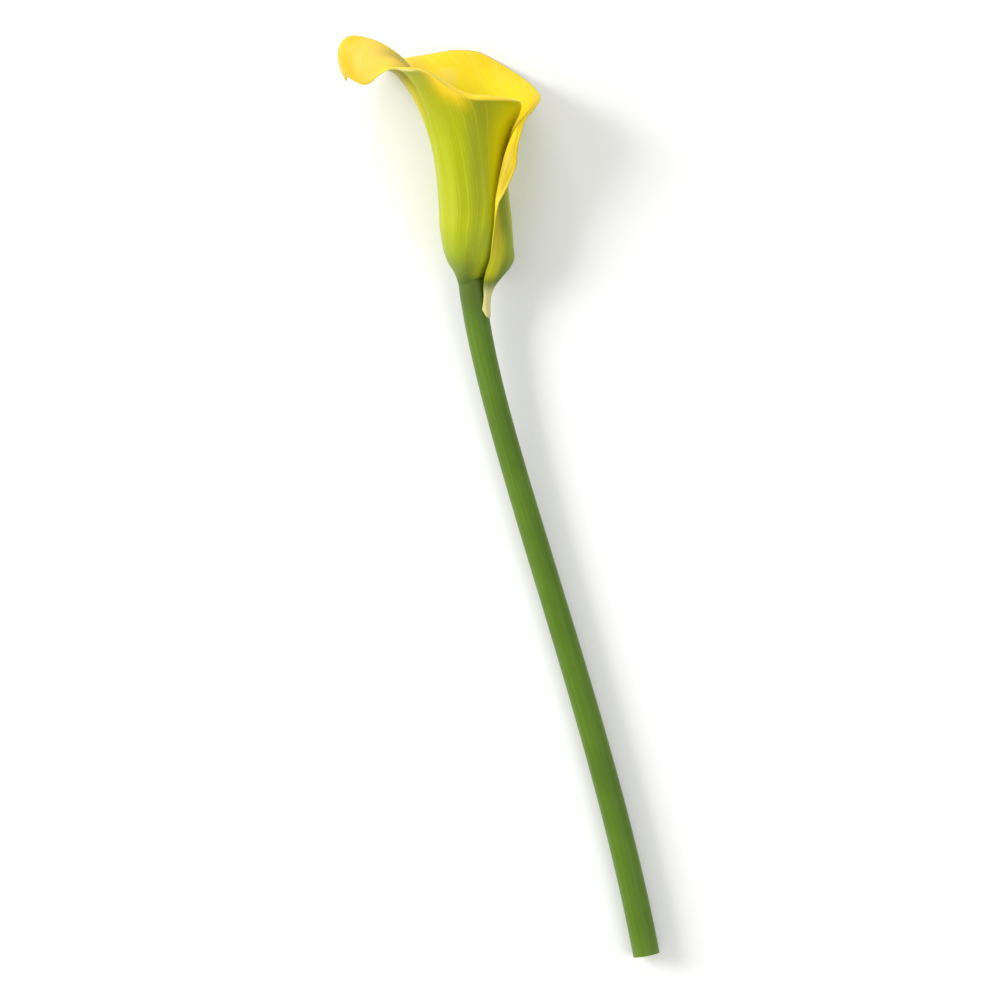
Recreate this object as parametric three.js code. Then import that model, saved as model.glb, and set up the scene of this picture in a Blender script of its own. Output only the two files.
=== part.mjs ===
// An arum lily flower, cut with its stem and laid down, in millimetres with Z up.
// The stem runs towards -Y, the mouth opens towards +Y, and X goes across the flower.
// The head has a frame of its own: height is the distance up the axis of its tube from the
// top of the stem, and azimuth is 0 at the tip, 90 on the upper side and 180 at the front,
// where the two margins of the spathe overlap.

import * as THREE from "three";

// How the head sits on the table
const headPlace = new THREE.Vector3(-8.82, 76.07, 12.06);
const headPitch = 9;
const headLean = 4.5;

// Stem: its cut end is placed from the head
const stemEnd = new THREE.Vector3(60, -235, -7.36);
const stemEndRun = new THREE.Vector3(-17, 90, 1.1);
const stemTopRun = 48;
const stemGap = 0.55;
const stemRadii = [[0, 4.7], [0.06, 4.55], [0.15, 4.35], [0.5, 4.4], [1, 4.7]];
const stemSides = 20;
const stemSteps = 26;

// Spathe, the one leaf that wraps the head: radius of its tube at each height
const tubeRadii = [
  [-12, 6.0], [-5, 5.5], [0, 5.2], [4, 6.8], [8, 9.5],
  [12, 11.2], [18, 12.0], [27, 11.8], [36, 11.8], [46, 12.4],
];

// The axis of the tube bends: it starts a little to the left and moves over to the right
const axisLeft = { by: 0.9, from: 0, to: 9 };
const axisRight = { by: 2, from: 0, to: 16 };

// Above its throat the blade curves out to the rim, the more the further it is rolled there.
// It leaves the throat with a flare that fades where the rim is rolled.
const throat = 36;
const throatOfRim = 0.55;
const throatShare = 0.36;
const throatFlare = { upright: 0.07, rolled: 0 };
const uprightTurn = 70;
const rolledTurn = 186;
const throatHandle = { least: 0.42, gain: 0.5 };
const rimHandle = { least: 0.18, gain: 0.34, power: 1.3 };

// Beside the tip, towards the upper side, the blade stands up in a crest before it rolls back
const crest = { gain: 0.27, azimuth: 13, halfTurn: 7 };

const baseThickness = 1.0;
const rimThickness = 0.8;

// Rim of the spathe: azimuth, distance from the axis, height along it, and the angle in
// degrees by which the blade has turned away from the axis there
const rim = [
  [-235, 21.0, 51.0, 70], [-216, 24.4, 55.6, 84], [-198, 26.6, 59.2, 84], [-180, 27.6, 62.0, 80],
  [-160, 27.8, 64.0, 79], [-140, 27.8, 67.9, 78], [-120, 26.8, 73.2, 74], [-104, 25.15, 77.6, 69],
  [-88, 24.0, 78.9, 68], [-68, 25.6, 78.7, 70], [-54, 29.8, 77.8, 80], [-42, 35.15, 76.5, 90],
  [-29, 37.4, 75.3, 106], [-14, 40.2, 75.2, 152], [0, 41.7, 75.6, 200], [7, 39.4, 73.4, 198],
  [15, 34.8, 71.4, 174], [22, 31.0, 74.4, 136], [28, 28.8, 76.4, 98], [33, 27.6, 77.0, 82],
  [39, 26.9, 77.0, 80], [47, 26.4, 76.6, 84], [60, 25.4, 74.4, 94], [75, 24.8, 69.4, 112],
  [90, 24.6, 65.2, 124], [112, 24.4, 63.2, 128], [135, 24.4, 61.8, 120], [160, 22.8, 60.4, 98],
  [186, 19.8, 57.6, 68], [212, 16.0, 53.0, 42], [240, 13.2, 47.0, 20],
];
const nibLength = 3.0;
const nibWidth = 2.6;

// Overlap at the front: the outer margin turns away from the tube at foldAzimuth, by a
// flange that widens upwards, and the inner margin runs on underneath it. Each list goes
// from 0 at the base to 1 at the rim.
const foldAzimuth = [
  [0, 124], [0.02, 131], [0.045, 128], [0.09, 121], [0.15, 118], [0.25, 124], [0.45, 136],
  [0.6, 143], [0.76, 149], [1, 155],
];
const flangeWidth = [
  [0.13, 0.4], [0.23, 1.2], [0.32, 2.4], [0.46, 4.4], [0.58, 5.6], [0.7, 6.2], [0.85, 5.2], [1, 3.0],
];
const flangeBend = [[0.5, 1.3], [0.65, 1.5], [1, 3.6]];
const flangeTurn = { full: 112, from: 0.13, to: 0.36, eased: 0.5, easedFrom: 0.55 };
const flangeTubeRadius = 14;
const overlap = { atBase: 26, gain: 30, from: 0.025, to: 0.3 };
const innerInset = { depth: 2.1, from: 75, to: 15, baseShare: 0.6, baseEnd: 10 };
const gatherFrom = 0.15;
const gatherShare = 0.5;

// Corners of the blade at the rim, rounded down and in by these shares
const outerCorner = { drop: 0.14, dropPower: 7, trim: 0.01 };
const innerCorner = { drop: 0.16, dropPower: 9, trim: 0.07 };
const trimPower = 9;

// Pouch low on the outer wrap, round the side away from the tip
const pouch = { depth: 5.9, height: 3.6, halfHeight: 6.6, azimuth: -195, halfTurn: 45 };

// Ear of the outer margin, hanging beside the stem
const ear = { length: 12.6, share: 0.2, place: -0.92, halfWidth: 0.16, power: 1.5 };

// Grid of the spathe: columns across the flange, columns across the rest, and rows
const flangeColumns = 14;
const flangeShare = 0.22;
const bladeColumns = 54;
const bladeRows = 22;
const profileStep = 0.01;

// Spadix, the spike inside the tube: pistils below and anthers above
const spadixSides = 22;
const pistilZone = {
  from: -0.25, to: 16, rows: 11, relief: 0.22,
  radii: [[-0.25, 2.5], [3, 3.2], [16, 3.4]],
};
const antherZone = {
  from: 16.3, to: 52, rows: 27, relief: 0.16,
  radii: [[16.3, 3.5], [30, 3.6], [44, 3.1], [49, 2.4], [51.2, 1.4], [52, 0.5]],
};

// Colours
const spatheYellow = 0xf4d52c;
const stemGreen = 0x5e8a2a;
const pistilGreen = 0xc3c95a;
const antherYellow = 0xe3b62a;

const radians = THREE.MathUtils.degToRad;
const clamp = THREE.MathUtils.clamp;
const lerp = THREE.MathUtils.lerp;
const smoothstep = (from, to, x) => THREE.MathUtils.smoothstep(x, from, to);

// Value of a list of stations at x, by a cubic through each station
function valueAt(stations, x, column = 1) {
  const last = stations.length - 1;
  const at = clamp(x, stations[0][0], stations[last][0]);
  let i = 0;
  while (i < last - 1 && at >= stations[i + 1][0]) i += 1;
  const step = (k) => stations[k + 1][0] - stations[k][0];
  const rise = (k) => (stations[k + 1][column] - stations[k][column]) / step(k);
  const slope = (k) => {
    if (k === 0) return rise(0);
    if (k === last) return rise(last - 1);
    return (rise(k - 1) * step(k) + rise(k) * step(k - 1)) / (step(k - 1) + step(k));
  };
  const q = (at - stations[i][0]) / step(i);
  const p = 1 - q;
  const ends = stations[i][column] * (1 + 2 * q) * p * p + stations[i + 1][column] * q * q * (3 - 2 * q);
  return ends + step(i) * (slope(i) * q * p * p - slope(i + 1) * q * q * p);
}

const axisX = (height) => axisRight.by * smoothstep(axisRight.from, axisRight.to, height)
  - axisLeft.by * (1 - smoothstep(axisLeft.from, axisLeft.to, height));

// Height and radius of the blade before its margin is folded, t up from the base at an azimuth
function bladeProfile(azimuth, t, across) {
  const turn = radians(valueAt(rim, azimuth, 3));
  const nib = nibLength * Math.exp(-((azimuth / nibWidth) ** 2));
  const rimReach = valueAt(rim, azimuth, 1) + nib * Math.sin(turn);
  const rimHeight = valueAt(rim, azimuth, 2) + nib * Math.cos(turn);
  const fold = valueAt(foldAzimuth, t);
  const inset = innerInset.depth * smoothstep(fold - innerInset.from, fold - innerInset.to, azimuth);
  const neck = Math.min(throat, throatOfRim * rimHeight);

  if (t < throatShare) {
    const lobe = Math.max(0, 1 - ((across - ear.place) / ear.halfWidth) ** 2) ** ear.power;
    const droop = clamp(1 - t / ear.share, 0, 1) ** 2;
    const height = (neck * t) / throatShare - ear.length * lobe * droop;
    const round = (azimuth - pouch.azimuth) / pouch.halfTurn;
    const up = (height - pouch.height) / pouch.halfHeight;
    const bulge = pouch.depth * Math.exp(-(round ** 2) - up ** 2);
    const tucked = inset * lerp(innerInset.baseShare, 1, smoothstep(0, innerInset.baseEnd, height));
    return { height, reach: valueAt(tubeRadii, height) + bulge - tucked };
  }
  const start = new THREE.Vector2(valueAt(tubeRadii, neck) - inset, neck);
  const end = new THREE.Vector2(rimReach, rimHeight);
  const span = start.distanceTo(end);
  const roll = (turn - radians(uprightTurn)) / radians(rolledTurn - uprightTurn);
  const startRun = span * (throatHandle.least + throatHandle.gain * clamp(roll, -0.2, 1.1));
  const rolled = rimHandle.least + rimHandle.gain * clamp(roll, 0, 1.1) ** rimHandle.power;
  const raised = crest.gain * Math.exp(-(((azimuth - crest.azimuth) / crest.halfTurn) ** 2));
  const endRun = span * (rolled + raised);
  const flare = lerp(throatFlare.upright, throatFlare.rolled, clamp(roll, 0, 1));
  const startHandle = new THREE.Vector2(flare, 1).setLength(startRun);
  const endHandle = new THREE.Vector2(Math.sin(turn), Math.cos(turn)).setLength(endRun);
  const curve = new THREE.CubicBezierCurve(start, startHandle.add(start), endHandle.negate().add(end), end);
  const point = curve.getPoint((t - throatShare) / (1 - throatShare));
  return { height: point.y, reach: point.x };
}

// Point of the blade in the head's frame: across is -1 at the outer margin, 0 on the line
// to the tip and 1 at the inner margin, and rise is 0 at the base and 1 at the rim
function bladePoint(across, rise) {
  const side = Math.abs(across);
  const corner = across > 0 ? innerCorner : outerCorner;
  const t = rise * (1 - corner.drop * side ** corner.dropPower);
  const fold = valueAt(foldAzimuth, t);
  const width = valueAt(flangeWidth, t);
  const outerEdge = 360 - fold + THREE.MathUtils.radToDeg(width / flangeTubeRadius);
  const innerEdge = fold + overlap.atBase + overlap.gain * smoothstep(overlap.from, overlap.to, t);
  const trimmed = side * (1 - corner.trim * rise ** trimPower);
  const gather = gatherShare * smoothstep(gatherFrom, 1, t);
  const gathered = lerp(trimmed, trimmed ** 3, gather);
  const azimuth = (across < 0 ? -outerEdge : innerEdge) * gathered;
  const { height, reach } = bladeProfile(azimuth, t, across);
  const ahead = bladeProfile(azimuth, t + profileStep, across);
  const outward = new THREE.Vector2(ahead.height - height, reach - ahead.reach).normalize();

  let out = 0;
  let back = 0;
  if (across < 0) {
    const toMargin = (1 - side) * radians(outerEdge) * reach;
    const run = Math.max(0, width - toMargin);
    const grown = smoothstep(flangeTurn.from, flangeTurn.to, t);
    const eased = flangeTurn.eased * smoothstep(flangeTurn.easedFrom, 1, t);
    const bend = valueAt(flangeBend, t);
    const turned = Math.min(run / bend, radians(flangeTurn.full) * grown * (1 - eased));
    const straight = run - bend * turned;
    out = bend * (1 - Math.cos(turned)) + straight * Math.sin(turned);
    back = run - bend * Math.sin(turned) - straight * Math.cos(turned);
  }
  const angle = radians(azimuth) + back / reach;
  const radius = reach + out * outward.x;
  const level = height + out * outward.y;
  return new THREE.Vector3(axisX(level) - radius * Math.cos(angle), level, radius * Math.sin(angle));
}

// One body from its points and the triangles between them
function meshFrom(points, faces) {
  const geometry = new THREE.BufferGeometry();
  geometry.setAttribute("position", new THREE.Float32BufferAttribute(points.flatMap((p) => p.toArray()), 3));
  geometry.setIndex(faces.flat());
  geometry.computeVertexNormals();
  return geometry;
}

// Spathe: the blade as two layers with a little thickness, closed round the whole margin
function spatheGeometry() {
  const columns = flangeColumns + bladeColumns;
  const columnAt = (i) => (i < flangeColumns
    ? -1 + (flangeShare * i) / flangeColumns
    : -1 + flangeShare + ((2 - flangeShare) * (i - flangeColumns)) / bladeColumns);
  const middle = [];
  for (let i = 0; i <= columns; i += 1) {
    for (let j = 0; j <= bladeRows; j += 1) middle.push(bladePoint(columnAt(i), j / bladeRows));
  }
  const at = (i, j) => clamp(i, 0, columns) * (bladeRows + 1) + clamp(j, 0, bladeRows);
  const layer = (side) => middle.map((point, index) => {
    const i = Math.floor(index / (bladeRows + 1));
    const j = index % (bladeRows + 1);
    const across = middle[at(i + 1, j)].clone().sub(middle[at(i - 1, j)]);
    const up = middle[at(i, j + 1)].clone().sub(middle[at(i, j - 1)]);
    const half = lerp(baseThickness, rimThickness, j / bladeRows) / 2;
    return point.clone().addScaledVector(across.cross(up).normalize(), side * half);
  });
  const shift = middle.length;
  const faces = [];
  for (let i = 0; i < columns; i += 1) {
    for (let j = 0; j < bladeRows; j += 1) {
      const corners = [at(i, j), at(i + 1, j), at(i + 1, j + 1), at(i, j + 1)];
      const across = (k) => middle[corners[k]].distanceTo(middle[corners[k + 2]]);
      if (across(1) < across(0)) corners.push(corners.shift());
      const [a, b, c, d] = corners;
      faces.push([a, b, c], [a, c, d]);
      faces.push([a + shift, c + shift, b + shift], [a + shift, d + shift, c + shift]);
    }
  }
  const edge = [];
  for (let i = 0; i < columns; i += 1) edge.push(at(i, 0));
  for (let j = 0; j < bladeRows; j += 1) edge.push(at(columns, j));
  for (let i = columns; i > 0; i -= 1) edge.push(at(i, bladeRows));
  for (let j = bladeRows; j > 0; j -= 1) edge.push(at(0, j));
  edge.forEach((a, k) => {
    const b = edge[(k + 1) % edge.length];
    faces.push([a, a + shift, b + shift], [a, b + shift, b]);
  });
  return meshFrom([...layer(1), ...layer(-1)], faces);
}

// Closed body round a path: centre(q) and radius(q, side) for q from 0 to 1
function sweep(centre, radius, steps, sides, across) {
  const points = [];
  for (let j = 0; j <= steps; j += 1) {
    const q = j / steps;
    const before = centre(Math.max(0, q - 0.001));
    const direction = centre(Math.min(1, q + 0.001)).sub(before).normalize();
    const second = new THREE.Vector3().crossVectors(direction, across).normalize();
    const first = new THREE.Vector3().crossVectors(second, direction);
    for (let i = 0; i < sides; i += 1) {
      const angle = (2 * Math.PI * i) / sides;
      const point = centre(q).addScaledVector(first, radius(j, i) * Math.cos(angle));
      points.push(point.addScaledVector(second, radius(j, i) * Math.sin(angle)));
    }
  }
  const faces = [];
  const at = (j, i) => j * sides + (i % sides);
  for (let j = 0; j < steps; j += 1) {
    for (let i = 0; i < sides; i += 1) {
      faces.push([at(j, i), at(j + 1, i + 1), at(j + 1, i)], [at(j, i), at(j, i + 1), at(j + 1, i + 1)]);
    }
  }
  points.push(centre(0), centre(1));
  for (let i = 0; i < sides; i += 1) {
    faces.push([points.length - 2, at(0, i + 1), at(0, i)]);
    faces.push([points.length - 1, at(steps, i), at(steps, i + 1)]);
  }
  return meshFrom(points, faces);
}

// Stem: a gentle curve from under the head to the cut end on the table
function stemGeometry(toFlower) {
  const top = new THREE.Vector3(axisX(0), -stemGap, 0).applyMatrix4(toFlower);
  const lower = new THREE.Vector3(axisX(0), -stemGap - stemTopRun, 0).applyMatrix4(toFlower);
  const end = headPlace.clone().add(stemEnd);
  const curve = new THREE.CubicBezierCurve3(top, lower, end.clone().add(stemEndRun), end);
  const radius = (j) => valueAt(stemRadii, j / stemSteps);
  return sweep((q) => curve.getPoint(q), radius, stemSteps, stemSides, new THREE.Vector3(1, 0, 0));
}

// A zone of the spadix: rows of small florets in diagonal order, each a raised point
function spadixGeometry({ from, to, rows, relief, radii }) {
  const heightAt = (q) => lerp(from, to, q);
  const centre = (q) => new THREE.Vector3(axisX(heightAt(q)), heightAt(q), 0);
  const radius = (j, i) => {
    const plain = valueAt(radii, heightAt(j / rows));
    const raised = (i + j) % 2 === 0 ? relief : -relief;
    return j === 0 || j === rows ? plain : plain + raised;
  };
  return sweep(centre, radius, rows, spadixSides, new THREE.Vector3(1, 0, 0));
}

function addMesh(parent, name, geometry, color, roughness) {
  const material = new THREE.MeshStandardMaterial({ color, roughness, metalness: 0 });
  const mesh = new THREE.Mesh(geometry, material);
  mesh.name = name;
  parent.add(mesh);
}

const flower = new THREE.Group();
const head = new THREE.Group();
head.position.copy(headPlace);
head.rotation.set(radians(headPitch), 0, radians(headLean), "ZXY");
head.updateMatrix();
flower.add(head);
addMesh(head, "spathe", spatheGeometry(), spatheYellow, 0.5);
addMesh(head, "spadix_pistils", spadixGeometry(pistilZone), pistilGreen, 0.6);
addMesh(head, "spadix_anthers", spadixGeometry(antherZone), antherYellow, 0.8);
addMesh(flower, "stem", stemGeometry(head.matrix), stemGreen, 0.5);

export default flower;
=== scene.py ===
import bpy
import math
from mathutils import Matrix, Vector


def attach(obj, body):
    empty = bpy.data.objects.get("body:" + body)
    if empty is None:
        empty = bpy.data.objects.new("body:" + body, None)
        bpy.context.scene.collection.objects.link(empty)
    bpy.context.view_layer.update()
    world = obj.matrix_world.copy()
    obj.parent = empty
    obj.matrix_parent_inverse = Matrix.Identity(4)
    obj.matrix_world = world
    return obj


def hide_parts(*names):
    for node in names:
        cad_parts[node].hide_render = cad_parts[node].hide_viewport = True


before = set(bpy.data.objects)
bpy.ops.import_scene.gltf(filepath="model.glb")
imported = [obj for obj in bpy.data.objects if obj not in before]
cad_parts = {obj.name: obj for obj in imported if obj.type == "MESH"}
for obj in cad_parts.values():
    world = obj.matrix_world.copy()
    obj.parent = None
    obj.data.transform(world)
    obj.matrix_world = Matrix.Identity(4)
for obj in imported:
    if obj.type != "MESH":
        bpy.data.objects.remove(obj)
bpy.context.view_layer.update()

# An arum lily, cut with its stem and laid on a pale table, seen from above.
# Sizes are in millimetres and mm turns them into Blender's metres.
# In the head, height runs up the axis of the tube from the top of the stem, and azimuth
# is 0 at the tip, 90 on the upper side and 180 where the margins of the spathe overlap.
mm = 0.001

camera = {
    "distance": 1500,    # about as far off as in the photograph
    "view": 346,         # length of table across the picture, at the flower's height
    "aim": (0, 0, 20),
    "sensor": 36,
    "clip": 20000,
}

head = {
    "place": (-8.82, 76.07, 12.06),
    "pitch": 9,
    "lean": 4.5,
    "left": (0.9, 0, 9),      # the tube's axis starts this far to the left, between two heights
    "right": (2, 0, 16),      # and moves this far over to the right
}


def deselectAll():
    bpy.ops.object.select_all(action="DESELECT")


def selectOnly(piece):
    deselectAll()
    bpy.context.view_layer.objects.active = piece
    piece.select_set(True)


def fixModifier(piece, name):
    selectOnly(piece)
    bpy.ops.object.modifier_apply(modifier=name)


def faceOutwards(piece):
    selectOnly(piece)
    bpy.ops.object.mode_set(mode="EDIT")
    bpy.ops.mesh.select_all(action="SELECT")
    bpy.ops.mesh.normals_make_consistent(inside=False)
    bpy.ops.object.mode_set(mode="OBJECT")


def storeValues(mesh, values):
    for name, numbers in values.items():
        layer = mesh.attributes.new(name, "FLOAT", "POINT")
        layer.data.foreach_set("value", numbers)


def ease(low, high, x):
    q = min(1, max(0, (x - low) / (high - low)))
    return q * q * (3 - 2 * q)


def clamp(x, low, high):
    return min(high, max(low, x))


def mixed(a, b, q):
    return a + (b - a) * q


def valueAt(stations, x, column=1):
    # smooth cubic through a list of stations, held at both ends
    last = len(stations) - 1
    at = clamp(x, stations[0][0], stations[last][0])
    i = 0
    while i < last - 1 and at >= stations[i + 1][0]:
        i += 1

    def step(k):
        return stations[k + 1][0] - stations[k][0]

    def rise(k):
        return (stations[k + 1][column] - stations[k][column]) / step(k)

    def slope(k):
        if k == 0:
            return rise(0)
        if k == last:
            return rise(last - 1)
        return (rise(k - 1) * step(k) + rise(k) * step(k - 1)) / (step(k - 1) + step(k))

    q = (at - stations[i][0]) / step(i)
    p = 1 - q
    ends = stations[i][column] * (1 + 2 * q) * p * p + stations[i + 1][column] * q * q * (3 - 2 * q)
    return ends + step(i) * (slope(i) * q * p * p - slope(i + 1) * q * q * p)


headLean = Matrix.Rotation(math.radians(head["lean"]), 4, "Z")
headPitch = Matrix.Rotation(math.radians(head["pitch"]), 4, "X")
headMatrix = Matrix.Translation(head["place"]) @ headLean @ headPitch


def axisX(height):
    left, leftFrom, leftTo = head["left"]
    right, rightFrom, rightTo = head["right"]
    return right * ease(rightFrom, rightTo, height) - left * (1 - ease(leftFrom, leftTo, height))


# A wire is the output of a shader node, and sums with wires add the nodes that work them out
class Wire:
    def __init__(self, paint, socket):
        self.paint = paint
        self.socket = socket

    def sum(self, operation, first, second):
        return self.paint.node("Math", {"operation": operation}, {0: first, 1: second})

    def __add__(self, other):
        return self.sum("ADD", self, other)

    def __sub__(self, other):
        return self.sum("SUBTRACT", self, other)

    def __rsub__(self, other):
        return self.sum("SUBTRACT", other, self)

    def __mul__(self, other):
        return self.sum("MULTIPLY", self, other)

    def __truediv__(self, other):
        return self.sum("DIVIDE", self, other)

    __radd__ = __add__
    __rmul__ = __mul__

    def between(self, low, high, start=0.0, end=1.0):
        # goes softly from start to end as the wire goes from low to high
        settings = {"interpolation_type": "SMOOTHSTEP"}
        return self.paint.node("MapRange", settings, {0: self, 1: low, 2: high, 3: start, 4: end})

    def comeIn(self, low, high, left=0.0):
        return self.between(low, high, left, 1.0)

    def goOut(self, low, high, left=0.0):
        return self.between(low, high, 1.0, left)


class Paint:
    def __init__(self, name, uniform):
        self.material = bpy.data.materials.new(name)
        self.material.use_nodes = True
        self.tree = self.material.node_tree
        self.surface = self.tree.nodes["Principled BSDF"]
        self.measures = {}
        for socket, value in uniform.items():
            self.surface.inputs[socket].default_value = value

    def plug(self, value, socket):
        if isinstance(value, Wire):
            self.tree.links.new(value.socket, socket)
        elif socket.type == "RGBA":
            socket.default_value = (*value, 1)
        else:
            socket.default_value = value

    def node(self, kind, settings, sockets, out=0):
        node = self.tree.nodes.new("ShaderNode" + kind)
        for name, value in settings.items():
            if name == "stops":
                points = node.color_ramp.elements
                while len(points) < len(value):
                    points.new(0.5)
                for point, (at, color) in zip(points, value):
                    point.position = at
                    point.color = (*color, 1)
            else:
                setattr(node, name, value)
        for key, value in sockets.items():
            self.plug(value, node.inputs[key])
        return Wire(self, node.outputs[out])

    def measure(self, name):
        # one of the numbers that the piece's mesh carries, read by one node
        if name not in self.measures:
            self.measures[name] = self.node("Attribute", {"attribute_name": name}, {}, "Fac")
        return self.measures[name]

    def place(self, stretch=(1, 1, 1)):
        spot = self.node("TexCoord", {}, {}, "Object")
        return self.node("Mapping", {}, {"Vector": spot, "Scale": stretch})

    def vector(self, x, y, z=0.0):
        return self.node("CombineXYZ", {}, {0: x, 1: y, 2: z})

    def noise(self, where, scale, detail=3.0, rough=0.5):
        sockets = {"Vector": where, "Scale": scale, "Detail": detail, "Roughness": rough}
        return self.node("TexNoise", {}, sockets, "Fac")

    def cells(self, where, scale):
        return self.node("TexVoronoi", {}, {"Vector": where, "Scale": scale}, "Distance")

    def ramp(self, value, stops):
        return self.node("ValToRGB", {"stops": stops}, {"Fac": value})

    def blend(self, factor, first, second):
        return self.node("Mix", {"data_type": "RGBA"}, {0: factor, 6: first, 7: second}, 2)

    def finish(self, color, roughness, relief=None, depth=0.0):
        self.plug(color, self.surface.inputs["Base Color"])
        self.plug(roughness, self.surface.inputs["Roughness"])
        if relief is not None:
            normal = self.node("Bump", {}, {"Distance": depth * mm, "Height": relief}, "Normal")
            self.plug(normal, self.surface.inputs["Normal"])
        return self.material


bladeLook = {
    "joint": (0.08, 0.135, 0.012),     # where the stem goes over into the tube
    "lower": (0.17, 0.23, 0.018),
    "base": (0.28, 0.35, 0.012),
    # painted light for the lowest part of the tube on one side
    "baseSide": (0.46, 0.53, 0.015),
    "lime": (0.38, 0.425, 0.002),
    "upper": (0.35, 0.355, 0.006),
    "rim": (0.75, 0.58, 0.05),
    "pinch": (1.0, 0.84, 0.20),        # painted highlight, a pale sheen on the lip where the tongue narrows
    "shade": (0.185, 0.22, 0.003),     # painted shade on the outer wrap beside its margin, also used for the finest vein lines
    "flank": (0.76, 0.71, 0.004),      # painted light on the side that runs in under it, where it lies in shade
    "underLip": (0.95, 0.61, 0.008),
    "vein": (0.60, 0.65, 0.04),
    "ear": (0.66, 0.62, 0.26),
    "yellow": (1.0, 0.86, 0.020),
    "rimYellow": (1.0, 0.63, 0.014),
    "warm": (1.0, 0.68, 0.012),
    # pale veins of the inside, and a painted sheen
    "cream": (1.0, 0.80, 0.22),
    # painted sheen on the near half of the tongue
    "tongue": (0.80, 0.57, 0.09),
    # deeper yellow round the tip, with painted shade where the light falls strongly
    "tip": (0.64, 0.40, 0.016),
    # painted sheen inside the near lip
    "nearLip": (0.72, 0.58, 0.06),
    "lipEdge": (0.69, 0.54, 0.035),
    # painted shade for the channel beside the tongue
    "channel": (0.60, 0.50, 0.07),
    # painted shade for the crease between the tongue and the mouth
    "crease": (0.46, 0.39, 0.085),
    "throat": (0.58, 0.54, 0.03),
    "sliver": (0.49, 0.395, 0.012),
    "ridge": (0.52, 0.51, 0.012),
    "upwards": [    # height of each colour of the outside
        (0, "joint"), (4.8, "lower"), (11.2, "base"), (20.8, "lime"), (49.6, "lime"), (68.8, "upper"),
    ],
    "length": 80,                 # height that the ramp of these colours covers
    "uneven": 7,                 # how far the patches shift these colours up or down
    "ragged": 5,                  # and how far they shift an edge
    "innerYellow": (2, 18),       # way in from the margin over which the rim's yellow goes out into a lighter yellow, painted light that evens out the shade deeper in
    "innerWarmth": 0.35,
    "patches": 90,
    "stretched": (1, 0.35, 1),    # draws the patches out along the flower
    "grain": 2600,
    "grainRelief": 0.3,
    "outerRoughness": (0.34, 0.46),
    "innerRoughness": (0.38, 0.5),
    "outerRelief": 0.07,
    "innerRelief": 0.06,
    "veins": 12,
    "wave": {"depth": 1.1, "across": 5, "up": 0.02, "scale": 1.6},
    "outerVeins": [
        {"times": 1, "width": 0.13, "strength": 0.26, "color": "vein", "relief": 0.55},
        {"times": 3, "width": 0.2, "strength": 0.12, "color": "vein", "relief": 0.3},
        {"times": 9, "width": 0.35, "strength": 0.09, "color": "shade", "relief": 0.12},
    ],
    "innerVeins": [
        {"times": 1, "width": 0.15, "strength": 0.14, "relief": 0.5},
        {"times": 3, "width": 0.25, "strength": 0.08, "relief": 0.3},
    ],
    "veinsShown": {"height": (6, 26), "patches": (0.3, 0.6, 0.3), "azimuth": (30, 80, 0.45)},
}

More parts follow.
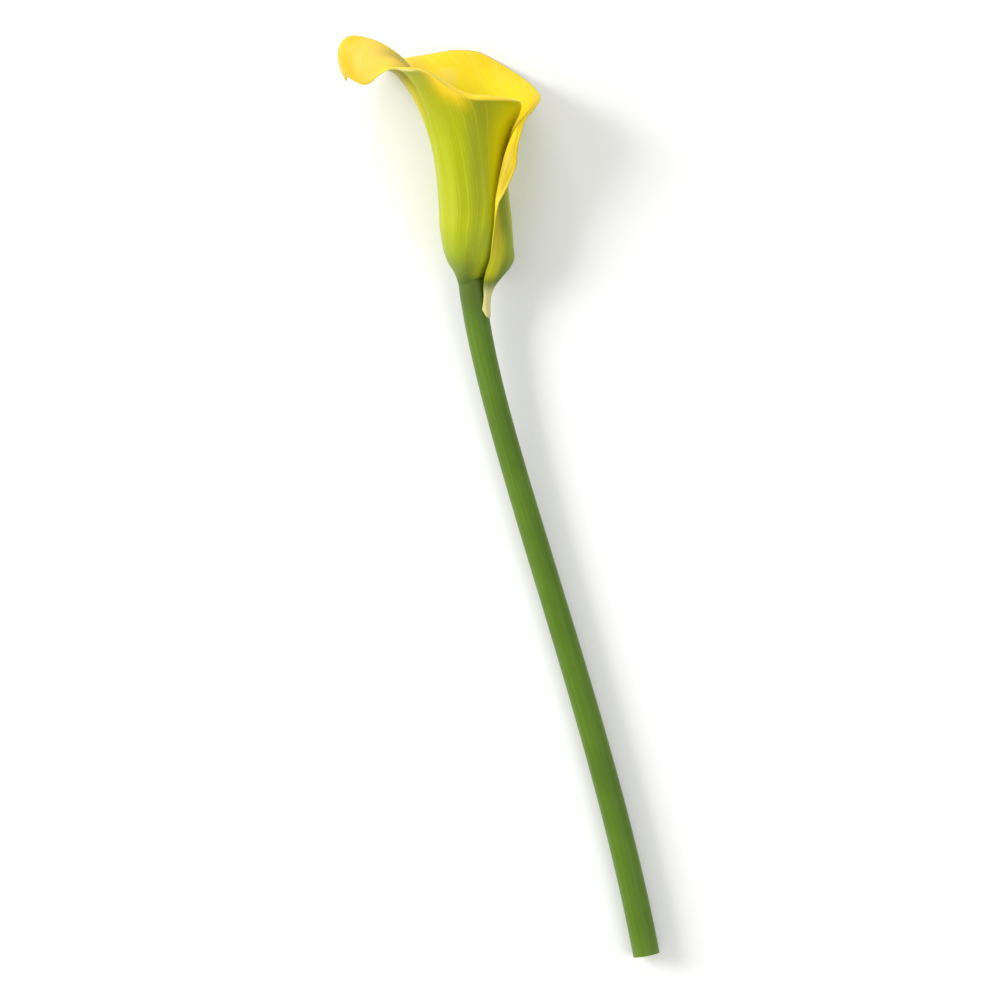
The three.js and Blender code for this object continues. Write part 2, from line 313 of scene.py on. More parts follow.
# A zone has its colour's name, its strength, and for the blade's measures the stretches over which
# it comes in and those over which it goes out. A third number is what is left beyond a stretch.
# Height and edge, the way to the nearest margin, are in millimetres and azimuth is in degrees.
# Across goes from -1 at the outer margin to 1 at the inner one, and rise from 0 at the base to 1.
bladeZones = {
    "underVeins": [
        # painted shade: the outer wrap beside its margin is darkened
        ("shade", 0.9, {"height": (6, 20)}, {"azimuth": (-214, -188)}),
        # painted light: the flank that runs in under the outer margin is lightened
        ("flank", 0.9, {"azimuth": (108, 152), "height": (12, 26)}, {"height": (32, 48, 0.7)}),
        # painted light: the lowest part of the tube on this side is lightened
        ("baseSide", 0.8, {"azimuth": (66, 110), "height": (0, 4)}, {"height": (9, 16)}),
        ("rim", 0.5, {"azimuth": (-40, 0), "height": (46, 72)}, {"azimuth": (8, 22)}),
    ],
    "overVeins": [
        ("underLip", 0.9,
            {"azimuth": (44, 68), "height": (46, 66)}, {"azimuth": (74, 104), "ragged": (9, 22)}),
        ("rim", 0.9, {"height": (10, 44), "patches": (0.2, 0.75, 0.7)}, {"edge": (1, 3)}),
        # painted highlight: a pale sheen on the lip beside the tongue
        ("pinch", 0.9, {"azimuth": (26, 34), "height": (40, 60)}, {"azimuth": (42, 54), "edge": (2, 4)}),
        ("ridge", 0.8,
            {"height": (-2, 4)}, {"across": (-0.93, -0.87), "edge": (3.5, 6), "height": (12, 22)}),
        ("sliver", 0.85, {"height": (7, 14)}, {"across": (-0.93, -0.87), "edge": (1.5, 4.5)}),
        ("ear", 0.92, {}, {"across": (-0.78, -0.7), "height": (-5, 1), "edge": (6, 13)}),
    ],
    "inside": [
        # the deeper yellow round the tip, with painted shade: darkened where the light falls strongly on it
        ("tip", 0.9, {"azimuth": (-34, -14), "rise": (0.6, 0.85)}, {"azimuth": (30, 50)}),
        # painted sheen: a paler cream on the near half of the tongue
        ("tongue", 0.9,
            {"azimuth": (8.5, 13), "rise": (0.55, 0.85), "edge": (2, 9, 0.3)}, {"azimuth": (24, 44)}),
        # painted sheen: a paler tone inside the near lip
        ("nearLip", 0.85, {"azimuth": (16, 28), "height": (40, 60)}, {"azimuth": (60, 90), "edge": (5, 10)}),
        # painted shade: the tongue's shadow in the channel beside it
        ("channel", 0.65, {"azimuth": (-64, -48)}, {"azimuth": (-32, -16), "edge": (13, 20)}),
        # painted shade in the crease between the tongue and the mouth
        ("crease", 0.8, {"azimuth": (14, 19), "edge": (9, 13)}, {"azimuth": (24, 34), "edge": (18, 26)}),
        # painted sheen: a pale cream patch inside the mouth
        ("cream", 0.4, {"azimuth": (-86, -77), "edge": (8, 11)}, {"azimuth": (-69, -60), "edge": (14, 18)}),
        ("throat", 0.9, {}, {"height": (8, 46)}),
        ("sliver", 0.8, {"height": (24, 36)}, {"across": (-0.93, -0.8), "edge": (5, 11)}),
        ("ridge", 0.8, {}, {"across": (-0.93, -0.8), "edge": (5, 11), "height": (20, 34)}),
        ("lipEdge", 0.9, {"height": (40, 56)}, {"edge": (0.3, 1.4)}),
        ("ear", 0.92, {}, {"across": (-0.78, -0.7), "height": (-5, 1)}),
    ],
}


def veinLines(paint, vein):
    # lines that run up the blade, a little wavy, from 0 between them to 1 on them
    across = paint.measure("across")
    look = bladeLook["wave"]
    place = paint.vector(look["across"] * across, look["up"] * paint.measure("height"))
    wave = paint.noise(place, look["scale"]) - 0.5
    phase = vein["times"] * bladeLook["veins"] * across + look["depth"] * wave
    gap = paint.node("Math", {"operation": "PINGPONG"}, {0: phase, 1: 0.5})
    return gap.between(0.5 - vein["width"], 0.5)


def zoneMask(paint, strength, comesIn, goesOut):
    # the strength, with all the stretches of a zone taken into account
    for name, stretch in comesIn.items():
        strength = strength * paint.measure(name).comeIn(*stretch)
    for name, stretch in goesOut.items():
        strength = strength * paint.measure(name).goOut(*stretch)
    return strength


def paintZones(paint, color, zones):
    for name, *shape in bladeZones[zones]:
        color = paint.blend(zoneMask(paint, *shape), color, bladeLook[name])
    return color


def outsideMaterial():
    paint = Paint("spatheOutside", {
        "Subsurface Weight": 0.12, "Subsurface Scale": 0.0012, "Subsurface Radius": (1.0, 0.85, 0.15),
        "Specular IOR Level": 0.15, "Coat Weight": 0.1, "Coat Roughness": 0.42,
    })
    patches = paint.noise(paint.place(bladeLook["stretched"]), bladeLook["patches"], 4)
    paint.measures["patches"] = patches
    paint.measures["ragged"] = paint.measure("edge") + bladeLook["ragged"] * patches
    level = paint.measure("height") + bladeLook["uneven"] * (patches - 0.5)
    stops = [(height / bladeLook["length"], bladeLook[name]) for height, name in bladeLook["upwards"]]
    color = paint.ramp(level / bladeLook["length"], stops)
    color = paintZones(paint, color, "underVeins")

    shown = zoneMask(paint, 1, bladeLook["veinsShown"], {})
    relief = patches + bladeLook["grainRelief"] * paint.cells(paint.place(), bladeLook["grain"])
    for vein in bladeLook["outerVeins"]:
        lines = veinLines(paint, vein)
        color = paint.blend(vein["strength"] * lines * shown, color, bladeLook[vein["color"]])
        relief += vein["relief"] * lines
    color = paintZones(paint, color, "overVeins")
    roughness = patches.between(0.3, 0.7, *bladeLook["outerRoughness"])
    return paint.finish(color, roughness, relief, bladeLook["outerRelief"])


def insideMaterial():
    paint = Paint("spatheInside", {
        "Subsurface Weight": 0.15, "Subsurface Scale": 0.0014, "Subsurface Radius": (1.0, 0.8, 0.12),
        "Specular IOR Level": 0.15, "Coat Weight": 0.02, "Coat Roughness": 0.4,
    })
    patches = paint.noise(paint.place(), bladeLook["patches"], 4)
    # painted light: the yellow is lighter further in from the margin, to even out the shade deeper in the
    # mouth
    inwards = paint.measure("edge").comeIn(*bladeLook["innerYellow"])
    color = paint.blend(inwards, bladeLook["rimYellow"], bladeLook["yellow"])
    color = paint.blend(bladeLook["innerWarmth"] * patches.between(0.4, 0.75), color, bladeLook["warm"])

    shown = 0
    relief = patches + bladeLook["grainRelief"] * paint.cells(paint.place(), bladeLook["grain"])
    for vein in bladeLook["innerVeins"]:
        lines = veinLines(paint, vein)
        shown += vein["strength"] * lines
        relief += vein["relief"] * lines
    color = paint.blend(shown, color, bladeLook["cream"])
    color = paintZones(paint, color, "inside")
    roughness = patches.between(0.3, 0.7, *bladeLook["innerRoughness"])
    return paint.finish(color, roughness, relief, bladeLook["innerRelief"])


spathe = {
    "tube": [    # radius of the tube at each height
        [-12, 6.0], [-5, 5.5], [0, 5.2], [4, 6.8], [8, 9.5],
        [12, 11.2], [18, 12.0], [27, 11.8], [36, 11.8], [46, 12.4],
    ],
    "throat": 36,                      # the tube goes over into the mouth at this height,
    "throatOfRim": 0.55,               # or at this share of the rim's height where that is lower
    "throatShare": 0.36,               # share of the sheet's length that the tube takes
    "throatFlare": (0.07, 0),          # where the rim is upright, and where it is rolled
    "uprightTurn": 70,
    "rolledTurn": 186,
    "rollLimits": (-0.2, 1.1),         # roll is 0 at the upright turn and 1 at the rolled one
    "throatHandle": (0.42, 0.5),       # least, and gain with the roll
    "rimHandle": (0.18, 0.34, 1.3),    # least, gain with the roll, and its power
    "crest": {"gain": 0.27, "azimuth": 13, "halfTurn": 7},    # it stands up there before it rolls back
    "rim": [    # azimuth, distance from the axis, height, and how far the blade has turned out
        [-235, 21.0, 51.0, 70], [-216, 24.4, 55.6, 84], [-198, 26.6, 59.2, 84], [-180, 27.6, 62.0, 80],
        [-160, 27.8, 64.0, 79], [-140, 27.8, 67.9, 78], [-120, 26.8, 73.2, 74], [-104, 25.15, 77.6, 69],
        [-88, 24.0, 78.9, 68], [-68, 25.6, 78.7, 70], [-54, 29.8, 77.8, 80], [-42, 35.15, 76.5, 90],
        [-29, 37.4, 75.3, 106], [-14, 40.2, 75.2, 152], [0, 41.7, 75.6, 200], [7, 39.4, 73.4, 198],
        [15, 34.8, 71.4, 174], [22, 31.0, 74.4, 136], [28, 28.8, 76.4, 98], [33, 27.6, 77.0, 82],
        [39, 26.9, 77.0, 80], [47, 26.4, 76.6, 84], [60, 25.4, 74.4, 94], [75, 24.8, 69.4, 112],
        [90, 24.6, 65.2, 124], [112, 24.4, 63.2, 128], [135, 24.4, 61.8, 120], [160, 22.8, 60.4, 98],
        [186, 19.8, 57.6, 68], [212, 16.0, 53.0, 42], [240, 13.2, 47.0, 20],
    ],
    "nib": (3.0, 2.6),    # length, and half width in degrees
    "fold": [    # azimuth where the outer margin turns away, from base to rim
        [0, 124], [0.02, 131], [0.045, 128], [0.09, 121], [0.15, 118], [0.25, 124], [0.45, 136],
        [0.6, 143], [0.76, 149], [1, 155],
    ],
    "flange": [    # width of the strip that is turned away, from base to rim
        [0.13, 0.4], [0.23, 1.2], [0.32, 2.4], [0.46, 4.4], [0.58, 5.6], [0.7, 6.2], [0.85, 5.2], [1, 3.0],
    ],
    "flangeBend": [[0.5, 1.3], [0.65, 1.5], [1, 3.6]],    # radius of its bend
    "flangeTurn": {"full": 112, "from": 0.13, "to": 0.36, "eased": 0.5, "easedFrom": 0.55},
    "flangeTube": 14,     # radius at which its width is turned into degrees
    # how many degrees past the fold the inner margin lies, and how far it is tucked in there
    "overlap": {"base": 22, "gain": 34, "from": 0.025, "to": 0.3},
    "inset": {"depth": 2.1, "from": 75, "to": 15, "baseShare": 0.5, "baseEnd": 10},
    "gather": (0.15, 0.5),             # columns drawn towards the tip: from where up, and how much
    "outerCorner": (0.14, 7, 0.01),    # drop, its power, and trim
    "innerCorner": (0.16, 9, 0.07),
    "trimPower": 9,
    # a bulge low on the outer wrap, the lobe at the foot of its margin and the end on the stem
    "pouch": {"depth": 5.9, "height": 3.6, "halfHeight": 6.6, "azimuth": -195, "halfTurn": 45},
    "ear": {"length": 12.6, "share": 0.2, "place": -0.92, "halfWidth": 0.16, "power": 1.5},
    "seat": {"share": 0.08, "drop": 4.2, "radius": 3.75},
    # outer and inner say where these two begin, inwards from each margin
    "ripple": {"depth": 0.3, "from": 0.82, "waves": 7, "outer": (-0.7, -0.4), "inner": (-0.75, -0.45)},
    "flutes": {
        "depth": 0.13, "waves": 13, "sway": 0.7, "swayAcross": 3, "swayUp": 0.05,
        "outer": (-0.8, -0.6), "inner": (-0.74, -0.6), "start": (8, 24), "fade": (50, 66),
    },
    "slopeStep": 0.01,
    "thickness": 0.95,
    "margin": 0.4,           # share of the thickness left at the margin
    "marginWidth": 2.4,
    "columns": 260,
    "marginColumns": 70,     # those beside the outer margin, where they stand closer
    "marginShare": 0.22,     # what they take of across
    "rows": 112,
}


def bladeProfile(azimuth, t, across):
    # height and distance from the axis at a share t of the way from base to rim
    turn = math.radians(valueAt(spathe["rim"], azimuth, 3))
    nib = spathe["nib"][0] * math.exp(-((azimuth / spathe["nib"][1]) ** 2))
    rimReach = valueAt(spathe["rim"], azimuth, 1) + nib * math.sin(turn)
    rimHeight = valueAt(spathe["rim"], azimuth, 2) + nib * math.cos(turn)
    fold = valueAt(spathe["fold"], t)
    insetShape = spathe["inset"]
    inset = insetShape["depth"] * ease(fold - insetShape["from"], fold - insetShape["to"], azimuth)
    neck = min(spathe["throat"], spathe["throatOfRim"] * rimHeight)
    share = spathe["throatShare"]

    if t < share:
        ear, seat, pouch = spathe["ear"], spathe["seat"], spathe["pouch"]
        lobe = max(0, 1 - ((across - ear["place"]) / ear["halfWidth"]) ** 2) ** ear["power"]
        droop = clamp(1 - t / ear["share"], 0, 1) ** 2
        seated = (1 - lobe) * clamp(1 - t / seat["share"], 0, 1) ** 2
        height = neck * t / share - ear["length"] * lobe * droop - seat["drop"] * seated
        around = (azimuth - pouch["azimuth"]) / pouch["halfTurn"]
        up = (height - pouch["height"]) / pouch["halfHeight"]
        bulge = pouch["depth"] * math.exp(-around * around - up * up)
        tucked = inset * mixed(insetShape["baseShare"], 1, ease(0, insetShape["baseEnd"], height))
        return height, mixed(valueAt(spathe["tube"], height) + bulge, seat["radius"], seated) - tucked

    start = Vector((valueAt(spathe["tube"], neck) - inset, neck))
    end = Vector((rimReach, rimHeight))
    span = (end - start).length
    upright = math.radians(spathe["uprightTurn"])
    roll = (turn - upright) / (math.radians(spathe["rolledTurn"]) - upright)
    rollLeast, rollMost = spathe["rollLimits"]
    least, gain = spathe["throatHandle"]
    flare = mixed(*spathe["throatFlare"], clamp(roll, 0, 1))
    startHandle = Vector((flare, 1)).normalized() * span * (least + gain * clamp(roll, rollLeast, rollMost))
    least, gain, power = spathe["rimHandle"]
    crest = spathe["crest"]
    raised = crest["gain"] * math.exp(-((azimuth - crest["azimuth"]) / crest["halfTurn"]) ** 2)
    endRun = span * (least + gain * clamp(roll, 0, rollMost) ** power + raised)
    endHandle = Vector((math.sin(turn), math.cos(turn))) * endRun
    q = (t - share) / (1 - share)
    p = 1 - q
    point = start * p ** 3 + (start + startHandle) * 3 * p * p * q
    point = point + (end - endHandle) * 3 * p * q * q + end * q ** 3
    return point.y, point.x


def bladePoint(across, rise):
    # across is -1 at the outer margin, 0 on the line to the tip and 1 at the inner margin
    side = abs(across)
    drop, power, trim = spathe["innerCorner"] if across > 0 else spathe["outerCorner"]
    t = rise * (1 - drop * side ** power)
    fold = valueAt(spathe["fold"], t)
    width = valueAt(spathe["flange"], t)
    overlap = spathe["overlap"]
    outerEdge = 360 - fold + math.degrees(width / spathe["flangeTube"])
    innerEdge = fold + overlap["base"] + overlap["gain"] * ease(overlap["from"], overlap["to"], t)
    trimmed = side * (1 - trim * rise ** spathe["trimPower"])
    gatherFrom, gatherShare = spathe["gather"]
    gathered = mixed(trimmed, trimmed ** 3, gatherShare * ease(gatherFrom, 1, t))
    azimuth = (-outerEdge if across < 0 else innerEdge) * gathered
    height, reach = bladeProfile(azimuth, t, across)
    aheadHeight, aheadReach = bladeProfile(azimuth, t + spathe["slopeStep"], across)
    outward = Vector((aheadHeight - height, reach - aheadReach)).normalized()

    # out lifts the sheet off its profile, and back brings the turned strip back round the tube
    out = 0
    back = 0
    if across < 0:
        flangeTurn = spathe["flangeTurn"]
        run = max(0, width - (1 - side) * math.radians(outerEdge) * reach)
        grown = ease(flangeTurn["from"], flangeTurn["to"], t)
        eased = flangeTurn["eased"] * ease(flangeTurn["easedFrom"], 1, t)
        bend = valueAt(spathe["flangeBend"], t)
        turned = min(run / bend, math.radians(flangeTurn["full"]) * grown * (1 - eased))
        straight = run - bend * turned
        out = bend * (1 - math.cos(turned)) + straight * math.sin(turned)
        back = run - bend * math.sin(turned) - straight * math.cos(turned)
    ripple, flutes = spathe["ripple"], spathe["flutes"]
    free = ease(*ripple["outer"], across) * ease(*ripple["inner"], -across) * ease(ripple["from"], 1, rise)
    out += ripple["depth"] * free * math.sin(across * ripple["waves"] * math.pi)
    free = ease(*flutes["outer"], across) * ease(*flutes["inner"], -across)
    free *= ease(*flutes["start"], height) * (1 - ease(*flutes["fade"], height))
    sway = flutes["sway"] * math.sin(flutes["swayAcross"] * across + flutes["swayUp"] * height)
    out += flutes["depth"] * free * math.sin(across * flutes["waves"] * math.pi + sway)
    angle = math.radians(azimuth) + back / reach
    radius = reach + out * outward.x
    level = height + out * outward.y
    point = Vector((axisX(level) - radius * math.cos(angle), level, radius * math.sin(angle)))
    return headMatrix @ point * mm, level, azimuth


def makeSpathe():
    columns, rows = spathe["columns"], spathe["rows"]
    deselectAll()
    bpy.ops.mesh.primitive_grid_add(x_subdivisions=columns, y_subdivisions=rows, size=2)
    piece = bpy.context.object
    piece.name = "spatheBlade"
    mesh = piece.data
    crowd = spathe["marginColumns"]

    def acrossAt(i):
        if i < crowd:
            return -1 + spathe["marginShare"] * i / crowd
        return -1 + spathe["marginShare"] + (2 - spathe["marginShare"]) * (i - crowd) / (columns - crowd)

    values = {"across": [], "rise": [], "height": [], "azimuth": [], "edge": []}
    for vertex in mesh.vertices:
        i = round((vertex.co.x + 1) / 2 * columns)
        j = round((vertex.co.y + 1) / 2 * rows)
        values["across"].append(acrossAt(i))
        values["rise"].append(j / rows)
    for vertex, across, rise in zip(mesh.vertices, values["across"], values["rise"]):
        vertex.co, level, azimuth = bladePoint(across, rise)
        values["height"].append(level)
        values["azimuth"].append(azimuth)

    # distance to the nearest margin, for the thin edge and its colour
    def at(i, j):
        return mesh.vertices[j * (columns + 1) + i].co

    for index in range(len(mesh.vertices)):
        j, i = divmod(index, columns + 1)
        away = min((at(i, j) - at(*spot)).length for spot in ((i, rows), (0, j), (columns, j)))
        values["edge"].append(away / mm)
    storeValues(mesh, values)

    body = piece.vertex_groups.new(name="body")
    for index, away in enumerate(values["edge"]):
        body.add([index], mixed(spathe["margin"], 1, ease(0, spathe["marginWidth"], away)), "REPLACE")
    mesh.materials.append(outsideMaterial())
    mesh.materials.append(insideMaterial())
    wall = piece.modifiers.new("wall", "SOLIDIFY")
    wall.thickness = spathe["thickness"] * mm
    wall.offset = 0
    wall.vertex_group = "body"
    wall.material_offset = 1
    wall.material_offset_rim = 1
    fixModifier(piece, "wall")
    bpy.ops.object.shade_smooth()
    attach(piece, "root")
    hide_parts("spathe")
    print("spathe", len(mesh.polygons))


def rodFromBall(name, columns, rows, placeAt):
    # a closed rod: the rows of a ball, from its top pole to its lower one, are moved to new places
    deselectAll()
    bpy.ops.mesh.primitive_uv_sphere_add(segments=columns, ring_count=rows, radius=1)
    piece = bpy.context.object
    piece.name = name
    places = []
    for vertex in piece.data.vertices:
        row = round(math.acos(clamp(vertex.co.z, -1, 1)) / math.pi * rows)
        places.append((row, math.atan2(vertex.co.y, vertex.co.x)))
    for vertex, (row, angle) in zip(piece.data.vertices, places):
        vertex.co = placeAt(row, angle)
    return piece, places


stem = {
    "end": (60, -235, -7.36),      # from the head's place
    "endRun": (-17, 90, 1.1),      # the curve's handle there
    "topRun": 48,                  # and the length of the one along the tube's axis
    "top": -0.55,                  # height of its top in the head
    "radii": [[0, 4.8], [0.015, 4.75], [0.06, 4.55], [0.15, 4.35], [0.5, 4.4], [1, 4.7]],
    "core": 2.6,                   # how far it runs up inside the tube
    "coreTaper": 0.28,
    "cutSpread": 1.06,             # moves the rings of the cut face out towards the skin
    "cutSunk": 0.35,
    "columns": 72,
    "rows": 260,
    "topRows": 6,
    "endRows": 7,
    "ribs": 13,
    "ribDepth": 0.02,
    "ribsFrom": 0.08,
    "slopeStep": 0.001,
    "skin": (0.085, 0.17, 0.008),
    "skinLight": (0.13, 0.22, 0.02),
    "skinDeep": (0.06, 0.12, 0.006),
    "jointFade": (2, 16),          # where the tube's green goes out
    "endFade": (232, 244),
    "streaks": {"around": 6, "along": 0.012, "scale": 1.7, "detail": 5, "rough": 0.6},
    "fine": {"around": 22, "along": 0.05, "scale": 1.8, "detail": 3, "rough": 0.5},
    "blotch": 55,
    "flesh": (0.62, 0.68, 0.30),
    "vessel": (0.34, 0.42, 0.12),
    "vessels": 1150,
    "pores": 2900,
}


def stemPath():
    # a curve that starts along the tube's axis and ends in the direction of the end's run
    start = headMatrix @ Vector((axisX(0), stem["top"], 0))
    lower = headMatrix @ Vector((axisX(0), stem["top"] - stem["topRun"], 0))
    end = Vector(head["place"]) + Vector(stem["end"])
    before = end + Vector(stem["endRun"])

    def at(q):
        p = 1 - q
        return start * p ** 3 + lower * 3 * p * p * q + before * 3 * p * q * q + end * q ** 3

    return at


def stemStreaks(paint, name):
    # noise drawn out along the stem
    look = stem[name]
    turnX = look["around"] * paint.measure("turnX")
    turnY = look["around"] * paint.measure("turnY")
    place = paint.vector(turnX, turnY, look["along"] * paint.measure("along"))
    return paint.noise(place, look["scale"], look["detail"], look["rough"])


def skinMaterial():
    paint = Paint("stemSkin", {
        "Subsurface Weight": 0.08, "Subsurface Scale": 0.0015, "Subsurface Radius": (0.6, 1.0, 0.2),
        "Specular IOR Level": 0.2, "Coat Weight": 0.04, "Coat Roughness": 0.3,
    })
    along = paint.measure("along")
    streaks = stemStreaks(paint, "streaks")
    fine = stemStreaks(paint, "fine")
    blotch = paint.noise(paint.place(), stem["blotch"], 3)
    color = paint.blend(0.5 * streaks.between(0.4, 0.66), stem["skin"], stem["skinLight"])
    color = paint.blend(0.4 * fine.between(0.5, 0.72), color, stem["skinDeep"])
    color = paint.blend(0.4 * blotch.between(0.45, 0.7), color, stem["skinDeep"])
    color = paint.blend(along.goOut(*stem["jointFade"]), color, bladeLook["joint"])
    color = paint.blend(0.5 * along.comeIn(*stem["endFade"]), color, stem["skinLight"])
    return paint.finish(color, streaks.between(0.3, 0.7, 0.34, 0.44), 0.6 * fine + 0.5 * streaks, 0.07)


def fleshMaterial():
    paint = Paint("stemFlesh", {
        "Subsurface Weight": 0.2, "Subsurface Scale": 0.001, "Specular IOR Level": 0.5,
    })
    spot = paint.place()
    vessels = paint.cells(spot, stem["vessels"])
    pores = paint.cells(spot, stem["pores"])
    color = paint.blend(0.8 * vessels.goOut(0.12, 0.3), stem["flesh"], stem["vessel"])
    color = paint.blend(pores.between(0.1, 0.4, 0.35, 0), color, stem["vessel"])
    return paint.finish(color, vessels.between(0.1, 0.4, 0.3, 0.48), 0.6 * pores + 0.4 * vessels, 0.15)


def makeStem():
    at = stemPath()
    rows, topRows, endRows = stem["rows"], stem["topRows"], stem["endRows"]
    steps = rows - topRows - endRows
    frames = []
    for k in range(steps + 1):
        q = k / steps
        ahead = at(min(1, q + stem["slopeStep"]))
        direction = (ahead - at(max(0, q - stem["slopeStep"]))).normalized()
        second = direction.cross(Vector((1, 0, 0))).normalized()
        frames.append((at(q), second.cross(direction), second, direction))

    def placeAt(row, angle):
        k = clamp(row - topRows, 0, steps)
        centre, first, second, direction = frames[k]
        ribDepth = stem["ribDepth"] * ease(0, stem["ribsFrom"], k / steps)
        radius = valueAt(stem["radii"], k / steps) - ribDepth * (1 - math.cos(stem["ribs"] * angle))
        if row < topRows:      # the top goes on up inside the tube and closes
            quarter = (1 - row / topRows) * math.pi / 2
            centre = centre - direction * stem["core"] * math.sin(quarter)
            radius *= 1 - stem["coreTaper"] * (1 - math.cos(quarter)) if row else 0
        if row > rows - endRows:     # the cut face, sunk a little in the middle
            q = (rows - row) / endRows
            radius *= min(1, q * stem["cutSpread"])
            centre = centre - direction * stem["cutSunk"] * (1 - q * q)
        return (centre + radius * (first * math.cos(angle) + second * math.sin(angle))) * mm

    piece, places = rodFromBall("stemRod", stem["columns"], rows, placeAt)
    mesh = piece.data
    run = [0]
    for before, after in zip(frames, frames[1:]):
        run.append(run[-1] + (after[0] - before[0]).length)
    storeValues(mesh, {
        "along": [run[clamp(row - topRows, 0, steps)] for row, angle in places],
        "turnX": [math.cos(angle) for row, angle in places],
        "turnY": [math.sin(angle) for row, angle in places],
    })
    mesh.materials.append(skinMaterial())
    mesh.materials.append(fleshMaterial())
    for face in mesh.polygons:
        if min(places[index][0] for index in face.vertices) >= rows - endRows:
            face.material_index = 1
    faceOutwards(piece)
    bpy.ops.object.shade_smooth_by_angle(angle=math.radians(50))
    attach(piece, "root")
    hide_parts("stem")
    print("stem", round(run[-1]), "mm long")


spadix = {
    "pistils": {
        "node": "spadix_pistils", "slot": "pistil_green",
        "from": 0.3, "to": 15.6, "pitch": 1.25, "size": 0.66, "flat": 0.8,
        "radii": [[-0.25, 2.3], [3, 3.0], [16, 3.2]],
        "color": (0.42, 0.50, 0.12), "second": (0.66, 0.66, 0.22), "deep": (0.20, 0.28, 0.06),
    },
    "anthers": {
        "node": "spadix_anthers", "slot": "anther_yellow",
        "from": 16.4, "to": 51.9, "pitch": 0.86, "size": 0.5, "flat": 0.6,
        "radii": [[16.3, 3.4], [30, 3.5], [44, 3.0], [49, 2.3], [51.2, 1.3], [51.9, 0.35]],
        "color": (0.86, 0.52, 0.035), "second": (0.95, 0.72, 0.16), "deep": (0.50, 0.30, 0.04),
    },
    "columns": 40,
    "rows": 44,
    "spiral": math.pi * (3 - math.sqrt(5)),
    "coreShare": 0.35,         # share of a floret's size that the core lies below its middle
    "firstShare": 0.4,         # the first floret's height, as a share of the pitch
    "sizes": (0.9, 1.08),
    "scatter": 7.3,            # spreads the sizes over the florets
    "fullRadius": 2,           # florets are smaller where the spike is thinner than this
    "leastSize": 0.55,
    "leastRadius": 0.5,
    "slopeStep": 0.2,
    "spots": 900,
    "grain": 5200,
}


def floretMaterial(name, zone):
    paint = Paint(name, {"Subsurface Weight": 0.12, "Subsurface Scale": 0.0006, "Specular IOR Level": 0.35})
    spots = paint.noise(paint.place(), spadix["spots"], 3)
    grain = paint.noise(paint.place(), spadix["grain"], 2)
    color = paint.blend(spots.between(0.4, 0.62), zone["color"], zone["second"])
    color = paint.blend(0.4 * grain.between(0.5, 0.7), color, zone["deep"])
    return paint.finish(color, grain.between(0.3, 0.7, 0.55, 0.8), 0.8 * grain + 0.3 * spots, 0.1)


def spikePoint(height, radius, turn):
    return Vector((axisX(height) + radius * math.cos(turn), height, -radius * math.sin(turn)))


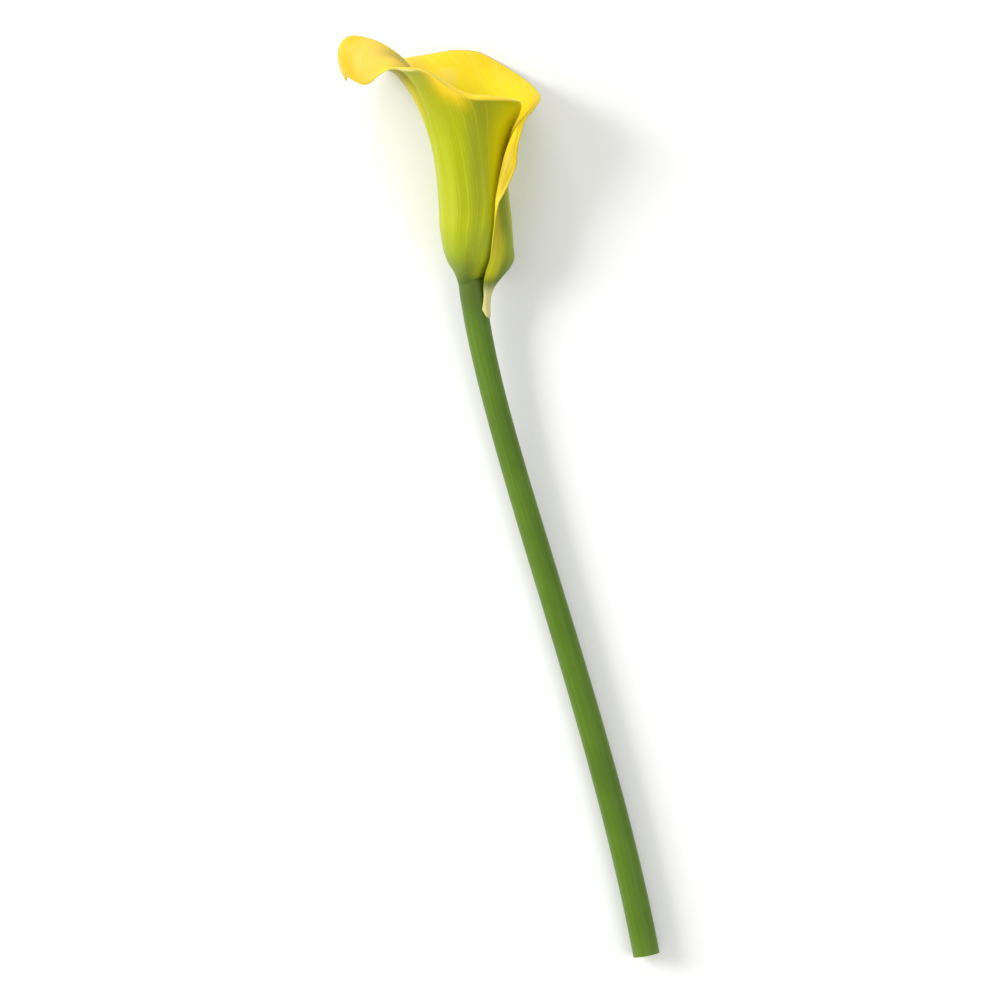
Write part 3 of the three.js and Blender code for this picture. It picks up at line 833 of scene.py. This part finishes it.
def makeSpadixZone(key):
    zone = spadix[key]
    low, high = zone["from"], zone["to"]
    material = floretMaterial(key + "Skin", zone)

    def corePlace(row, angle):
        height = mixed(high, low, row / spadix["rows"])
        radius = valueAt(zone["radii"], height) - zone["size"] * spadix["coreShare"]
        if row in (0, spadix["rows"]):
            radius = 0
        return headMatrix @ spikePoint(height, radius, angle) * mm

    core, places = rodFromBall(key + "Core", spadix["columns"], spadix["rows"], corePlace)
    core.data.materials.append(material)

    # one floret, then a copy at each turn of the spiral
    deselectAll()
    bpy.ops.mesh.primitive_ico_sphere_add(subdivisions=2, radius=zone["size"] * mm)
    floret = bpy.context.object
    floret.data.materials.append(material)
    bpy.ops.transform.resize(value=(zone["flat"], 1, 1))
    bpy.ops.object.transform_apply(location=False, rotation=False, scale=True)
    copies = []
    height = low + zone["pitch"] * spadix["firstShare"]
    turn = 0
    while height < high:
        radius = valueAt(zone["radii"], height)
        ahead = valueAt(zone["radii"], height + spadix["slopeStep"])
        tilt = math.atan2(ahead - radius, spadix["slopeStep"])
        copy = floret.copy()
        copy.data = floret.data.copy()
        bpy.context.collection.objects.link(copy)
        spot = Matrix.Translation(spikePoint(height, radius, turn))
        around = Matrix.Rotation(turn, 4, "Y") @ Matrix.Rotation(-tilt, 4, "Z")
        size = mixed(*spadix["sizes"], turn * spadix["scatter"] % 1)
        size *= clamp(radius / spadix["fullRadius"], spadix["leastSize"], 1)
        place = Matrix.Scale(mm, 4) @ headMatrix @ spot @ around @ Matrix.Scale(1 / mm, 4)
        copy.data.transform(place @ Matrix.Scale(size, 4))
        copies.append(copy)
        turn += spadix["spiral"]
        height += zone["pitch"] ** 2 / (2 * math.pi * max(radius, spadix["leastRadius"]))
    bpy.data.objects.remove(floret)
    selectOnly(core)
    for copy in copies:
        copy.select_set(True)
    bpy.ops.object.join()
    core.name = key + "Spike"
    faceOutwards(core)
    bpy.ops.object.shade_smooth()
    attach(core, "root")
    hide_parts(zone["node"])
    print(key, len(copies), "florets")


studio = {
    "floor": 4000,
    "floorColor": (0.93, 0.93, 0.92),
    "floorShade": (0.82, 0.82, 0.82),
    "sky": 0.52,
    "aim": (0, 60, 20),
    "lights": {
        "key": {"place": (-1050, 260, 620), "size": 650, "power": 15},
        "fill": {"place": (650, -250, 950), "size": 900, "power": 4},
        "front": {"place": (-100, 900, 420), "size": 600, "power": 2.5},
    },
}


def makeStudio():
    deselectAll()
    bpy.ops.mesh.primitive_plane_add(size=studio["floor"] * mm, location=(0, 0, 0))
    floor = bpy.context.object
    floor.name = "tableTop"
    paint = Paint("paleTable", {})
    shade = paint.noise(paint.place(), 3, 2)
    color = paint.blend(0.1 * shade, studio["floorColor"], studio["floorShade"])
    floor.data.materials.append(paint.finish(color, shade.between(0, 1, 0.7, 0.8)))
    for name, light in studio["lights"].items():
        place = Vector(light["place"]) * mm
        aim = (Vector(studio["aim"]) * mm - place).to_track_quat("-Z", "Y")
        bpy.ops.object.light_add(type="AREA", location=place, rotation=aim.to_euler())
        lamp = bpy.context.object
        lamp.name = name + "Light"
        lamp.data.size = light["size"] * mm
        lamp.data.energy = light["power"]
    world = bpy.data.worlds.new("softSky")
    bpy.context.scene.world = world
    world.use_nodes = True
    world.node_tree.nodes["Background"].inputs["Color"].default_value = (1, 1, 1, 1)
    world.node_tree.nodes["Background"].inputs["Strength"].default_value = studio["sky"]
    bpy.context.scene.view_settings.view_transform = "Standard"
    print("studio")


def makeCamera():
    aim = Vector(camera["aim"])
    bpy.ops.object.camera_add(location=(aim + Vector((0, 0, camera["distance"]))) * mm, rotation=(0, 0, 0))
    eye = bpy.context.object
    eye.name = "topCamera"
    eye.data.sensor_width = camera["sensor"]
    eye.data.lens = camera["sensor"] * camera["distance"] / camera["view"]
    eye.data.clip_end = camera["clip"] * mm
    bpy.context.scene.camera = eye
    print("camera")


makeCamera()
makeSpathe()
makeStem()
makeSpadixZone("pistils")
makeSpadixZone("anthers")
makeStudio()

print("done")
